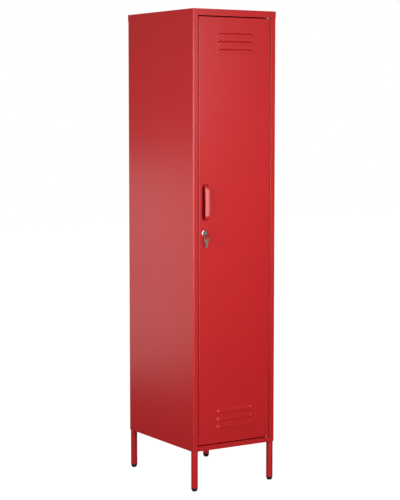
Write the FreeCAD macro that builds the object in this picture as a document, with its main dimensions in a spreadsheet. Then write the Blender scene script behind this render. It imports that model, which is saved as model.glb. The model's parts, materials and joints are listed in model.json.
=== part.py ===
"""Tall single-door steel locker on four round legs, as a parametric FreeCAD document.

Frame: X to the right along the front, Y from front to back, Z up. The origin is at floor level, at the
middle of the overall box, whose front is the keys and whose back is the back of the cap.
Each sub-part is a body or a boolean of this document, and its sizes are bound to the sheet Dims.
"""
import FreeCAD, Part
import Sketcher
import os

DIMENSIONS = {
    # whole locker
    "width": 380, "depth": 500, "height": 1850, "leg_height": 156, "sheet": 1,
    # top cap
    "cap_skirt": 27, "top_rail": 25, "cap_lip": 20, "cap_upturn": 12, "cap_corner": 4.5,
    # side panels with their stiles
    "stile_land": 10, "stile_depth": 24, "stop_lip": 12, "rear_flange": 15, "corner_bend": 4.5,
    "edge_bend": 1.8,
    # bottom tray
    "bottom_rail": 19, "tray_flange": 11, "tray_hem": 15,
    # back panel, its rivets and its holes for wall screws
    "rivet_radius": 2, "rivet_head_radius": 3.6, "rivet_head": 0.8, "rivet_tail": 2.5,
    "rivet_margin": 60, "rivet_fit": 0.05, "wall_hole_radius": 4, "wall_hole_spacing": 200,
    "wall_hole_drop": 90,
    # door
    "door_gap": 2.5, "door_end_gap": 4, "door_depth": 18, "door_bend": 2, "door_lip": 12,
    "stiffener_width": 40, "stiffener_wing": 10, "stiffener_depth": 14, "stiffener_margin": 150,
    # louvres
    "louvre_width": 164, "louvre_crest": 138, "louvre_rise": 16, "louvre_crest_rise": 11,
    "louvre_reach": 5, "louvre_slope_wall": 0.6, "louvre_pitch": 30.2, "louvre_margin": 59,
    "slit_relief": 0.25,
    # handle
    "handle_inset": 28.5, "handle_width": 32, "handle_length": 140, "handle_z": 1118,
    "cup_rim": 5, "cup_depth": 14, "hood_reach": 14, "hood_wall": 1.2, "hood_crest_wall": 0.7,
    "hood_base_wall": 1.8, "hood_base": 30,
    "hood_crest": 18, "hood_top_slope": 27, "hood_low_slope": 14, "hood_offset": 7, "hood_bend": 3,
    # hinge
    "hinge_inset": 8.5, "hinge_setback": 7, "pin_radius": 2.5, "pin_head_radius": 4.5, "pin_head": 3,
    "pin_reach": 12, "running_fit": 0.05, "bush_radius": 4, "bush_collar_radius": 5,
    "bush_collar": 1.8, "bush_length": 10, "washer_radius": 4.5, "washer_thickness": 2,
    # door stops
    "buffer_radius": 4, "buffer_inset": 6, "buffer_margin": 220, "buffer_relief": 0.3,
    # lock
    "lock_inset": 23.5, "lock_z": 1001, "lock_face_radius": 11.5, "lock_face": 3, "barrel_radius": 9,
    "lock_length": 24.2, "lock_nut_flats": 24, "lock_nut": 4, "plug_radius": 6, "plug_recess": 0.6,
    "keyway_width": 2.6, "keyway_height": 8.4, "keyway_depth": 22, "cam_length": 28, "cam_width": 14,
    "cam_thickness": 2, "cam_tip_radius": 3.5, "cam_clearance": 0.8, "tail_side": 7, "cam_screw_head": 3,
    "cam_screw_radius": 2.5, "cam_screw_head_radius": 4.5, "cam_screw_length": 8,
    "screw_slot": 1.3,
    # keys and ring
    "key_reach": 21, "key_thickness": 2, "key_blade": 7.4, "key_blade_length": 20, "bow_radius": 11.5,
    "bow_flat": 2.2,
    "bow_hole_radius": 2.2, "bow_hole_margin": 5.5, "key_neck": 3, "key_slack": 0.3,
    "ring_radius": 9.5, "ring_wire": 0.7, "spare_length": 40, "spare_bow_radius": 9,
    "spare_hole_radius": 3.8, "spare_hang": 1.9, "spare_turn": 50,
    # legs and feet
    "leg_radius": 13, "leg_wall": 1.5, "foot_rim": 12.5, "foot_taper": 10, "foot_floor_radius": 8.8,
    "foot_shank": 18, "foot_fit": 0.1, "stud_radius": 4, "stud_length": 16, "stud_disc": 6,
    "plate_thickness": 3, "plate_length": 44, "stud_clearance": 0.3, "nut_flats": 13,
    "nut_height": 6.5, "thread_fit": 0.05,
    # inside fittings
    "hat_shelf_z": 1540, "lower_shelf_z": 480, "shelf_rim": 20, "shelf_setback": 48,
    "shelf_clearance": 0.5, "bracket_leg": 20, "bracket_inset": 25, "rail_z": 1478,
    "rail_radius": 9.5, "rail_wall": 1.2, "socket_radius": 12, "socket_flange_radius": 17,
    "socket_flange": 1.5, "socket_depth": 12, "socket_fit": 0.1,
}

doc = FreeCAD.newDocument("locker")
sheet = doc.addObject("Spreadsheet::Sheet", "Dims")
for row, (alias, size) in enumerate(DIMENSIONS.items(), start=1):
    sheet.set("A%d" % row, alias)
    sheet.set("B%d" % row, str(size))
    sheet.setAlias("B%d" % row, alias)
doc.recompute()

# Planes and lines that many pieces share, as expressions of the sheet
SPARE_REACH = ("Dims.key_reach - Dims.bow_hole_margin + Dims.key_thickness / 2 * sin(Dims.spare_turn * 1deg)"
               " + Dims.spare_bow_radius * cos(Dims.spare_turn * 1deg)")
OVERHANG = "max(Dims.key_reach; %s)" % SPARE_REACH
FRONT = "(%s / 2 - Dims.depth / 2)" % OVERHANG
BACK = "(%s / 2 + Dims.depth / 2)" % OVERHANG
FACE = "(%s + Dims.sheet)" % FRONT
REAR = "(%s - Dims.sheet)" % BACK
SIDE = "(Dims.width / 2 - Dims.sheet)"
MOUTH = "(%s - Dims.leg_radius - Dims.stile_land)" % SIDE
TOP = "(Dims.height - Dims.sheet)"
RAIL = "(Dims.height - Dims.top_rail)"
FLOOR = "(Dims.leg_height + Dims.bottom_rail)"
DOOR_SIDE = "(%s - Dims.door_gap)" % MOUTH
DOOR_LOW = "(%s + Dims.door_end_gap)" % FLOOR
DOOR_HIGH = "(%s - Dims.door_end_gap)" % RAIL
DOOR_BACK = "(%s + Dims.door_depth)" % FACE
PIN_X = "(%s - Dims.hinge_inset)" % DOOR_SIDE
HANDLE_X = "(Dims.handle_inset - %s)" % DOOR_SIDE
LOCK_X = "(Dims.lock_inset - %s)" % DOOR_SIDE
LOCK_Z = "Dims.lock_z"
PIN_Y = "(%s + Dims.hinge_setback)" % FACE
LEG_X = "(%s - Dims.leg_radius)" % SIDE
LEG_Y = "(Dims.depth / 2 - Dims.sheet - Dims.leg_radius)"
MIDDLE_Y = "(%s / 2)" % OVERHANG
STOP_Y = "(%s + Dims.stile_depth)" % FACE
TURNS = {
    "X": FreeCAD.Rotation(FreeCAD.Vector(0, 1, 0), 90),
    "Y": FreeCAD.Rotation(FreeCAD.Vector(1, 0, 0), -90),
    "Z": FreeCAD.Rotation(),
}
CORNERS = {
    "front_left": (-1, -1), "front_right": (1, -1), "back_left": (-1, 1), "back_right": (1, 1),
}
parts = []


def value(expression):
    """The number that an expression of the sheet gives now, in millimetres."""
    result = sheet.evalExpression(str(expression))
    return float(getattr(result, "Value", result))


def bind(obj, **expressions):
    for name, expression in expressions.items():
        obj.setExpression(name, str(expression))


def place(obj, x="0", y="0", z="0"):
    for axis, expression in zip("xyz", (x, y, z)):
        obj.setExpression("Placement.Base.%s" % axis, str(expression))


def new_body(label):
    body = doc.addObject("PartDesign::Body", label)
    body.Label = label
    parts.append(body)
    return body


def keep(obj, label):
    """Makes a boolean or group a sub-part under its own label."""
    obj.Label = label
    parts.append(obj)
    return obj


def block(owner, kind, name, low, high):
    """A box between two corners: kind is Additive or Subtractive in a body, or Part for a plain one."""
    if kind == "Part":
        box = doc.addObject("Part::Box", name)
    else:
        box = owner.newObject("PartDesign::%sBox" % kind, name)
    spans = ["(%s) - (%s)" % (high[k], low[k]) for k in range(3)]
    bind(box, Length=spans[0], Width=spans[1], Height=spans[2])
    place(box, *low)
    return box


def drum(owner, kind, name, start, axis, radius, length):
    """A cylinder that starts at a point and runs along an axis."""
    if kind == "Part":
        cylinder = doc.addObject("Part::Cylinder", name)
    else:
        cylinder = owner.newObject("PartDesign::%sCylinder" % kind, name)
    cylinder.Placement = FreeCAD.Placement(FreeCAD.Vector(), TURNS[axis])
    bind(cylinder, Radius=radius, Height=length)
    place(cylinder, *start)
    return cylinder


def wedge(body, kind, name, near, far, depth):
    """A tapered block: near and far are its faces' (x0, x1, z0, z1), depth its (y0, y1)."""
    solid = body.newObject("PartDesign::%sWedge" % kind, name)
    bind(solid, Xmin=near[0], Xmax=near[1], Zmin=near[2], Zmax=near[3], Ymin=depth[0])
    bind(solid, X2min=far[0], X2max=far[1], Z2min=far[2], Z2max=far[3], Ymax=depth[1])
    return solid


def outline(body, name, plane, offset, *loops):
    """A sketch of closed polygons, each corner held by its two distances from the origin."""
    sketch = body.newObject("Sketcher::SketchObject", name)
    origin = [feature for feature in body.Origin.OriginFeatures if feature.Role == plane][0]
    sketch.AttachmentSupport = (origin, [""])
    sketch.MapMode = "FlatFace"
    sketch.setExpression("AttachmentOffset.Base.z", str(offset))
    for loop in loops:
        first = sketch.GeometryCount
        spots = [FreeCAD.Vector(value(u), value(v), 0) for u, v in loop]
        for number, spot in enumerate(spots):
            sketch.addGeometry(Part.LineSegment(spot, spots[(number + 1) % len(spots)]))
        for number, (u, v) in enumerate(loop):
            line, following = first + number, first + (number + 1) % len(loop)
            sketch.addConstraint(Sketcher.Constraint("Coincident", line, 2, following, 1))
            for direction, distance in (("DistanceX", u), ("DistanceY", v)):
                rule = Sketcher.Constraint(direction, -1, 1, line, 1, value(distance))
                index = sketch.addConstraint(rule)
                sketch.setExpression("Constraints[%d]" % index, str(distance))
    return sketch


def pad(body, name, sketch, length, reverse=False):
    feature = body.newObject("PartDesign::Pad", name)
    feature.Profile = sketch
    feature.Reversed = reverse
    bind(feature, Length=length)
    doc.recompute()
    return feature


def near(a, b):
    return abs(a - b) < 0.01


def bend(body, name, base, radius, chosen):
    """Rounds the edges of base that the test chooses."""
    doc.recompute()
    edges = base.Shape.Edges
    names = ["Edge%d" % (i + 1) for i, edge in enumerate(edges) if chosen(edge.BoundBox)]
    if not names:
        raise ValueError("no edges found for " + name)
    fillet = body.newObject("PartDesign::Fillet", name)
    fillet.Base = (base, names)
    bind(fillet, Radius=radius)
    doc.recompute()
    return fillet


def upright(x, y):
    """Chooses vertical edges at one place in plan."""
    x, y = value(x), value(y)
    return lambda box: near(box.XMin, x) and near(box.XMax, x) and near(box.YMin, y) \
        and near(box.YMax, y) and box.ZLength > 1


def cut(base, tools):
    result = doc.addObject("Part::Cut", base.Name + "_cut")
    result.Base = base
    result.Tool = tools[0] if len(tools) == 1 else fuse(tools)
    return result


def fuse(shapes):
    result = doc.addObject("Part::MultiFuse", shapes[0].Name + "_fused")
    result.Shapes = shapes
    return result


def group(label, shapes):
    result = doc.addObject("Part::Compound", label)
    result.Links = shapes
    return keep(result, label)


def folded_pan(label, low, high, wall, radius, chosen):
    """A sheet pan with parallel outer and inner bends; wall gives each side's thickness or 0 if open."""
    outer = doc.addObject("PartDesign::Body", label + "_outside")
    block(outer, "Additive", label + "_block", low, high)
    bend(outer, label + "_bends", outer.Tip, radius, chosen(low, high))
    inner = doc.addObject("PartDesign::Body", label + "_inside")
    start = ["%s + %s" % (low[k], wall[0][k]) for k in range(3)]
    end = ["%s - %s" % (high[k], wall[1][k]) for k in range(3)]
    block(inner, "Additive", label + "_room", start, end)
    bend(inner, label + "_room_bends", inner.Tip, "%s - Dims.sheet" % radius, chosen(start, end))
    return outer, inner


def signed(side, expression):
    return expression if side > 0 else "-(%s)" % expression


def span(side, inner, outer):
    """Low and high ends of a stretch between two distances from the middle, on one side."""
    return (signed(side, inner), signed(side, outer)) if side > 0 else ("-(%s)" % outer, "-(%s)" % inner)


# ---- cabinet ----------------------------------------------------------------------------------

def top_cap():
    """A folded lid: its skirt goes over the side panels and its front flange is the top rail."""
    half, skirt_z = "(Dims.width / 2)", "(Dims.height - Dims.cap_skirt)"
    outer, inner = folded_pan(
        "cap", ("-" + half, FRONT, skirt_z), (half, BACK, "Dims.height"),
        (("Dims.sheet", "Dims.sheet", "0"), ("Dims.sheet", "Dims.sheet", "Dims.sheet")),
        "Dims.cap_corner", lambda low, high: lambda box:
        box.ZLength > 1 and near(box.XLength, 0) and near(box.YLength, 0))
    trim = block(None, "Part", "front_trim", ("-" + half, FRONT, skirt_z),
                 (half, "%s + Dims.cap_corner" % FRONT, RAIL))
    lip = block(None, "Part", "return_lip", ("-" + MOUTH, FRONT, RAIL),
                (MOUTH, "%s + Dims.cap_lip" % FACE, "%s + Dims.sheet" % RAIL))
    upturn = block(None, "Part", "cap_stiffener",
                   ("-" + MOUTH, "%s + Dims.cap_lip - Dims.sheet" % FACE, RAIL),
                   (MOUTH, "%s + Dims.cap_lip" % FACE, "%s + Dims.cap_upturn" % RAIL))
    hole = drum(None, "Part", "pin_hole", (PIN_X, PIN_Y, "%s - Dims.sheet" % RAIL), "Z",
                "Dims.pin_radius + Dims.running_fit", "3 * Dims.sheet")
    shell = cut(outer, [inner, trim])
    return keep(cut(fuse([shell, lip, upturn]), [hole]), "top_cap")


RIVET_X = "(%s - Dims.rear_flange / 2)" % SIDE
RIVETS_PER_SIDE = 5


def rivet_heights():
    low = "(Dims.leg_height + Dims.rivet_margin)"
    step = "(%s - Dims.rivet_margin - %s) / %d" % (TOP, low, RIVETS_PER_SIDE - 1)
    return ["%s + %d * %s" % (low, number, step) for number in range(RIVETS_PER_SIDE)]


def side_panel(side):
    """A side sheet folded into the front stile with its door stop, and into the rear flange."""
    name = "right_side_panel" if side > 0 else "left_side_panel"
    body = new_body(name)
    inner_x = "(%s - Dims.sheet)" % SIDE
    profile = [
        (SIDE, REAR), (SIDE, FACE), (MOUTH, FACE), (MOUTH, "%s - Dims.sheet" % STOP_Y),
        ("%s - Dims.stop_lip" % MOUTH, "%s - Dims.sheet" % STOP_Y),
        ("%s - Dims.stop_lip" % MOUTH, STOP_Y),
        ("%s + Dims.sheet" % MOUTH, STOP_Y), ("%s + Dims.sheet" % MOUTH, "%s + Dims.sheet" % FACE),
        (inner_x, "%s + Dims.sheet" % FACE), (inner_x, "%s - Dims.sheet" % REAR),
        ("%s - Dims.rear_flange" % SIDE, "%s - Dims.sheet" % REAR),
        ("%s - Dims.rear_flange" % SIDE, REAR),
    ]
    sketch = outline(body, name + "_fold", "XY_Plane", "Dims.leg_height",
                     [(signed(side, x), y) for x, y in profile])
    feature = pad(body, name + "_sheet", sketch, "%s - Dims.leg_height" % TOP)
    for tag, x, y, radius in (
            ("outer_corner", SIDE, FACE, "Dims.corner_bend"),
            ("inner_corner", inner_x, "%s + Dims.sheet" % FACE, "Dims.corner_bend - Dims.sheet"),
            ("outer_rear", SIDE, REAR, "Dims.corner_bend"),
            ("inner_rear", inner_x, "%s - Dims.sheet" % REAR, "Dims.corner_bend - Dims.sheet"),
            ("outer_edge", MOUTH, FACE, "Dims.edge_bend"),
            ("inner_edge", "%s + Dims.sheet" % MOUTH, "%s + Dims.sheet" % FACE,
             "Dims.edge_bend - Dims.sheet")):
        feature = bend(body, name + "_" + tag, feature, radius, upright(signed(side, x), y))
    stop = span(side, "%s - Dims.stop_lip" % MOUTH, "%s + Dims.sheet" % MOUTH)
    block(body, "Subtractive", name + "_tray_notch", (stop[0], "%s - Dims.sheet" % STOP_Y,
          "Dims.leg_height"), (stop[1], STOP_Y, FLOOR))
    for number, height in enumerate(rivet_heights()):
        drum(body, "Subtractive", "%s_rivet_hole_%d" % (name, number),
             (signed(side, RIVET_X), "%s - 2 * Dims.sheet" % REAR, height), "Y",
             "Dims.rivet_radius + Dims.rivet_fit", "3 * Dims.sheet")
    return body


def back_panel():
    """A flat sheet inside the rear flanges, with two holes for wall screws."""
    body = new_body("back_panel")
    inner_x = "(%s - Dims.corner_bend)" % SIDE
    block(body, "Additive", "back_sheet", ("-" + inner_x, "%s - 2 * Dims.sheet" % REAR,
          "Dims.leg_height"), (inner_x, "%s - Dims.sheet" % REAR, TOP))
    for side in (-1, 1):
        for number, height in enumerate(rivet_heights()):
            drum(body, "Subtractive", "back_rivet_hole_%d_%d" % (side + 1, number),
                 (signed(side, RIVET_X), "%s - 3 * Dims.sheet" % REAR, height), "Y",
                 "Dims.rivet_radius + Dims.rivet_fit", "3 * Dims.sheet")
        drum(body, "Subtractive", "wall_hole_%d" % (side + 1),
             (signed(side, "Dims.wall_hole_spacing / 2"), "%s - 3 * Dims.sheet" % REAR,
              "Dims.height - Dims.wall_hole_drop"), "Y", "Dims.wall_hole_radius", "3 * Dims.sheet")
    return body


def back_panel_rivets():
    """Low-headed rivets through each rear flange and the back panel."""
    rivets = []
    for side in (-1, 1):
        for number, height in enumerate(rivet_heights()):
            tag = "rivet_%d_%d" % (side + 1, number)
            x = signed(side, RIVET_X)
            shank = drum(None, "Part", tag + "_shank", (x, "%s - 2 * Dims.sheet" % REAR, height), "Y",
                         "Dims.rivet_radius", "2 * Dims.sheet")
            head = drum(None, "Part", tag + "_head", (x, REAR, height), "Y",
                        "Dims.rivet_head_radius", "Dims.rivet_head")
            tail = drum(None, "Part", tag + "_tail",
                        (x, "%s - 2 * Dims.sheet - Dims.rivet_head" % REAR, height), "Y",
                        "Dims.rivet_tail", "Dims.rivet_head")
            rivets.append(fuse([shank, head, tail]))
    return group("back_panel_rivets", rivets)


def bottom_tray():
    """The cabinet's floor: a tongue between the stiles ends in the bottom rail, flanges go down."""
    body = new_body("bottom_tray")
    wide, inner_y = "(%s - Dims.sheet)" % SIDE, "(%s - Dims.corner_bend)" % REAR
    corners = [
        ("-" + MOUTH, FACE), (MOUTH, FACE), (MOUTH, STOP_Y), (wide, STOP_Y), (wide, inner_y),
        ("-" + wide, inner_y), ("-" + wide, STOP_Y), ("-" + MOUTH, STOP_Y),
    ]
    sketch = outline(body, "tray_floor", "XY_Plane", "%s - Dims.sheet" % FLOOR, corners)
    plate = pad(body, "tray_sheet", sketch, "Dims.sheet")
    block(body, "Additive", "front_rail", ("-" + MOUTH, FACE, "Dims.leg_height"),
          (MOUTH, "%s + Dims.sheet" % FACE, FLOOR))
    block(body, "Additive", "rail_hem", ("-" + MOUTH, FACE, "Dims.leg_height"),
          (MOUTH, "%s + Dims.tray_hem" % FACE, "Dims.leg_height + Dims.sheet"))
    for side in (-1, 1):
        end = span(side, "%s - Dims.sheet" % MOUTH, MOUTH)
        block(body, "Additive", "rail_tab_%d" % (side + 1), (end[0], FACE, "Dims.leg_height"),
              (end[1], "%s + Dims.tray_hem" % FACE, FLOOR))
    low = "%s - Dims.tray_flange" % FLOOR
    for side in (-1, 1):
        edge = span(side, "%s - Dims.sheet" % wide, wide)
        block(body, "Additive", "side_flange_%d" % (side + 1), (edge[0], STOP_Y, low),
              (edge[1], inner_y, FLOOR))
    block(body, "Additive", "rear_flange", ("-" + wide, "%s - Dims.sheet" % inner_y, low),
          (wide, inner_y, FLOOR))
    drum(body, "Subtractive", "lower_pin_hole", (PIN_X, PIN_Y, "%s - 2 * Dims.sheet" % FLOOR), "Z",
         "Dims.pin_radius + Dims.running_fit", "3 * Dims.sheet")
    doc.recompute()
    front, floor = value(FACE), value(FLOOR)
    bend(body, "rail_bend", body.Tip, "Dims.edge_bend - Dims.sheet / 2", lambda box:
         box.XLength > 1 and near(box.YMax, front) and near(box.ZMin, floor))
    return body


def shelf(label, height):
    """A folded pan that rests its side rims on two brackets."""
    half = "(%s - Dims.sheet - Dims.shelf_clearance)" % SIDE
    start, end = "(%s + Dims.shelf_setback)" % FACE, "(%s - Dims.corner_bend)" % REAR
    outer, inner = folded_pan(
        label, ("-" + half, start, "(%s - Dims.shelf_rim)" % height), (half, end, height),
        (("Dims.sheet", "Dims.sheet", "0"), ("Dims.sheet", "Dims.sheet", "Dims.sheet")),
        "Dims.edge_bend", lambda low, high: lambda box:
        near(box.YMax, value(low[1])) and near(box.ZMin, value(high[2])))
    return keep(cut(outer, [inner]), label)


def shelf_bracket(label, side, height):
    """A steel angle welded to the side panel, level with a shelf's rim."""
    body = new_body(label)
    wall = "(%s - Dims.sheet)" % SIDE
    ledge = "(%s - Dims.shelf_rim)" % height
    corners = [
        (wall, ledge), ("%s - Dims.bracket_leg" % wall, ledge),
        ("%s - Dims.bracket_leg" % wall, "%s - Dims.sheet" % ledge),
        ("%s - Dims.sheet" % wall, "%s - Dims.sheet" % ledge),
        ("%s - Dims.sheet" % wall, "%s - Dims.bracket_leg" % ledge),
        (wall, "%s - Dims.bracket_leg" % ledge),
    ]
    start = "(%s + Dims.shelf_setback + Dims.bracket_inset)" % FACE
    end = "(%s - 2 * Dims.sheet - Dims.bracket_inset)" % REAR
    sketch = outline(body, label + "_angle", "XZ_Plane", "-" + end,
                     [(signed(side, x), z) for x, z in corners])
    pad(body, label + "_length", sketch, "%s - %s" % (end, start))
    return body


def hanging_rail():
    body = new_body("hanging_rail")
    half = "(%s - Dims.sheet - Dims.socket_flange)" % SIDE
    drum(body, "Additive", "rail_tube", ("-" + half, MIDDLE_Y, "Dims.rail_z"), "X",
         "Dims.rail_radius", "2 * %s" % half)
    drum(body, "Subtractive", "rail_bore", ("-" + half, MIDDLE_Y, "Dims.rail_z"), "X",
         "Dims.rail_radius - Dims.rail_wall", "2 * %s" % half)
    return body


def rail_socket(side):
    """A flanged cup on the side panel that takes one end of the hanging rail."""
    body = new_body("rail_socket_right" if side > 0 else "rail_socket_left")
    wall = "(%s - Dims.sheet)" % SIDE
    tag = body.Name
    flange = span(side, "%s - Dims.socket_flange" % wall, wall)
    cup = span(side, "%s - Dims.socket_flange - Dims.socket_depth" % wall, wall)
    bore = span(side, "%s - 2 * Dims.socket_depth" % wall, "%s - Dims.socket_flange" % wall)
    for kind, name, reach, radius in (
            ("Additive", "flange", flange, "Dims.socket_flange_radius"),
            ("Additive", "cup", cup, "Dims.socket_radius"),
            ("Subtractive", "seat", bore, "Dims.rail_radius + Dims.socket_fit")):
        drum(body, kind, "%s_%s" % (tag, name), (reach[0], MIDDLE_Y, "Dims.rail_z"), "X", radius,
             "(%s) - (%s)" % (reach[1], reach[0]))
    return body


# ---- legs -------------------------------------------------------------------------------------

def leg_place(corner):
    across, along = CORNERS[corner]
    return signed(across, LEG_X), "%s + %s" % (MIDDLE_Y, signed(along, LEG_Y))


def leg(corner):
    body = new_body("leg_" + corner)
    x, y = leg_place(corner)
    length = "Dims.leg_height - Dims.foot_rim"
    drum(body, "Additive", body.Name + "_tube", (x, y, "Dims.foot_rim"), "Z", "Dims.leg_radius", length)
    drum(body, "Subtractive", body.Name + "_bore", (x, y, "Dims.foot_rim"), "Z",
         "Dims.leg_radius - Dims.leg_wall", length)
    return body


def foot(corner):
    """A tapered plastic foot whose shank plugs the leg tube."""
    body = new_body("foot_" + corner)
    x, y = leg_place(corner)
    shank = "(Dims.leg_radius - Dims.leg_wall - Dims.foot_fit)"
    corners = [
        ("0", "0"), ("Dims.foot_floor_radius", "0"), ("Dims.leg_radius", "Dims.foot_taper"),
        ("Dims.leg_radius", "Dims.foot_rim"), (shank, "Dims.foot_rim"),
        (shank, "Dims.foot_rim + Dims.foot_shank"), ("0", "Dims.foot_rim + Dims.foot_shank"),
    ]
    sketch = outline(body, body.Name + "_half", "XZ_Plane", "0", corners)
    turned = body.newObject("PartDesign::Revolution", body.Name + "_turned")
    turned.Profile = sketch
    turned.ReferenceAxis = (sketch, ["V_Axis"])
    turned.Angle = 360
    place(body, x, y, "0")
    return body


def leg_stud(corner):
    """A threaded stud on a disc in the top of the leg tube."""
    body = new_body("leg_stud_" + corner)
    x, y = leg_place(corner)
    drum(body, "Additive", body.Name + "_disc", (x, y, "Dims.leg_height - Dims.stud_disc"), "Z",
         "Dims.leg_radius - Dims.leg_wall - Dims.foot_fit", "Dims.stud_disc")
    drum(body, "Additive", body.Name + "_thread", (x, y, "Dims.leg_height - Dims.stud_disc"), "Z",
         "Dims.stud_radius", "Dims.stud_disc + Dims.stud_length")
    return body


def corner_plate(corner):
    """A steel plate in the corner of the side panel that the leg is bolted to."""
    body = new_body("corner_plate_" + corner)
    across, along = CORNERS[corner]
    x, y = leg_place(corner)
    reach = span(across, "%s + Dims.sheet" % MOUTH, "%s - Dims.sheet" % SIDE)
    inset = "Dims.sheet" if along < 0 else "Dims.corner_bend"
    near_y = "%s + %s" % (FACE, inset) if along < 0 else "%s - %s - Dims.plate_length" % (REAR, inset)
    far_y = "%s + %s + Dims.plate_length" % (FACE, inset) if along < 0 else "%s - %s" % (REAR, inset)
    plate = block(body, "Additive", body.Name + "_plate", (reach[0], near_y, "Dims.leg_height"),
                  (reach[1], far_y, "Dims.leg_height + Dims.plate_thickness"))
    if along < 0:
        bend(body, body.Name + "_corner", plate, "Dims.corner_bend",
             upright(signed(across, "%s - Dims.sheet" % SIDE), near_y))
        bend(body, body.Name + "_edge", body.Tip, "Dims.edge_bend",
             upright(signed(across, "%s + Dims.sheet" % MOUTH), near_y))
    drum(body, "Subtractive", body.Name + "_hole", (x, y, "Dims.leg_height - 1"), "Z",
         "Dims.stud_radius + Dims.stud_clearance", "Dims.plate_thickness + 2")
    return body


def hex_prism(name, place_at, axis, flats, height):
    """A hexagonal bar with two flats square to the first direction across its axis."""
    prism = doc.addObject("Part::Prism", name)
    prism.Polygon = 6
    prism.Placement = FreeCAD.Placement(FreeCAD.Vector(), TURNS[axis])
    bind(prism, Circumradius="%s / sqrt(3)" % flats, Height=height)
    place(prism, *place_at)
    return prism


def leg_nuts():
    nuts = []
    for corner in CORNERS:
        x, y = leg_place(corner)
        start = (x, y, "Dims.leg_height + Dims.plate_thickness")
        blank = hex_prism("leg_nut_" + corner, start, "Z", "Dims.nut_flats", "Dims.nut_height")
        thread = drum(None, "Part", "leg_nut_thread_" + corner, start, "Z",
                      "Dims.stud_radius + Dims.thread_fit", "Dims.nut_height")
        nuts.append(cut(blank, [thread]))
    return group("leg_nuts", nuts)


# ---- door -------------------------------------------------------------------------------------

def louvre(body, name, low):
    """A hood pressed out of the door sheet, open below, with the slit behind it."""
    for kind, wall, slope_wall, foot_z, root in (
            ("Additive", "0", "0", low, "Dims.sheet / 2"),
            ("Subtractive", "Dims.sheet", "Dims.louvre_slope_wall", "%s - Dims.slit_relief" % low,
             "Dims.sheet")):
        crest = "(Dims.louvre_crest / 2 - %s)" % slope_wall
        base = "(Dims.louvre_width / 2 - %s)" % wall
        wedge(body, kind, "%s_%s" % (name, kind.lower()),
              ("-" + crest, crest, foot_z, "%s + Dims.louvre_crest_rise - %s" % (low, slope_wall)),
              ("-" + base, base, foot_z, "%s + Dims.louvre_rise - %s" % (low, wall)),
              ("%s - Dims.louvre_reach + %s" % (FACE, wall), "%s + %s" % (FACE, root)))


def stadium(name, x, z, width, length, start_y, depth):
    """A slot-shaped block with round ends, standing upright and running along Y."""
    radius = "(%s) / 2" % width
    shapes = [block(None, "Part", name + "_middle",
                    ("%s - %s" % (x, radius), start_y, "%s - (%s) / 2 + %s" % (z, length, radius)),
                    ("%s + %s" % (x, radius), "%s + %s" % (start_y, depth),
                     "%s + (%s) / 2 - %s" % (z, length, radius)))]
    for tag, sign in (("_low", "-"), ("_high", "+")):
        end = "%s %s ((%s) / 2 - %s)" % (z, sign, length, radius)
        shapes.append(drum(None, "Part", name + tag, (x, start_y, end), "Y", radius, depth))
    return fuse(shapes)


def door_skin():
    """The door's folded sheet with its lips, louvres, handle opening, lock hole and bush holes."""
    wall = ("Dims.sheet", "Dims.sheet", "Dims.sheet")
    body, room = folded_pan(
        "door", ("-" + DOOR_SIDE, FACE, DOOR_LOW), (DOOR_SIDE, DOOR_BACK, DOOR_HIGH), (wall, wall),
        "Dims.door_bend", lambda low, high: lambda box: near(box.YMin, value(low[1])))
    block(body, "Subtractive", "door_mouth",
          ("-%s + Dims.door_lip" % DOOR_SIDE, "%s - 2 * Dims.sheet" % DOOR_BACK,
           "%s + Dims.door_lip" % DOOR_LOW),
          ("%s - Dims.door_lip" % DOOR_SIDE, DOOR_BACK, "%s - Dims.door_lip" % DOOR_HIGH))
    for number in range(3):
        louvre(body, "low_louvre_%d" % number,
               "%s + Dims.louvre_margin + %d * Dims.louvre_pitch" % (DOOR_LOW, number))
        louvre(body, "high_louvre_%d" % number,
               "%s - Dims.louvre_margin - Dims.louvre_rise - %d * Dims.louvre_pitch"
               % (DOOR_HIGH, number))
    for tag, z in (("low", DOOR_LOW), ("high", DOOR_HIGH)):
        drum(body, "Subtractive", "bush_hole_" + tag, (PIN_X, PIN_Y, "%s - 2 * Dims.sheet" % z), "Z",
             "Dims.bush_radius + Dims.running_fit", "4 * Dims.sheet")
    drum(body, "Subtractive", "lock_hole", (LOCK_X, "%s - Dims.sheet" % FACE, LOCK_Z),
         "Y", "Dims.barrel_radius + Dims.running_fit", "3 * Dims.sheet")
    opening = stadium("handle_opening", HANDLE_X, "Dims.handle_z", "Dims.handle_width",
                      "Dims.handle_length", "%s - Dims.sheet" % FACE, "3 * Dims.sheet")
    return keep(cut(body, [opening, room]), "door_skin")


def door_stiffener():
    """A hat-shaped channel welded up the middle of the door's back."""
    body = new_body("door_stiffener")
    wing = "(Dims.stiffener_width / 2)"
    web = "(Dims.stiffener_width / 2 - Dims.stiffener_wing)"
    inside_web = "(Dims.stiffener_width / 2 - Dims.stiffener_wing + Dims.sheet)"
    skin = "(%s + Dims.sheet)" % FACE
    crown = "(%s + Dims.stiffener_depth)" % skin
    right = [(web, "%s - Dims.sheet" % crown), (web, skin), (wing, skin),
             (wing, "%s + Dims.sheet" % skin), (inside_web, "%s + Dims.sheet" % skin),
             (inside_web, crown)]
    left = [("-" + x, y) for x, y in reversed(right)]
    sketch = outline(body, "stiffener_fold", "XY_Plane", "%s + Dims.stiffener_margin" % DOOR_LOW,
                     right + left)
    pad(body, "stiffener_length", sketch, "%s - %s - 2 * Dims.stiffener_margin"
        % (DOOR_HIGH, DOOR_LOW))
    return body


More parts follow.
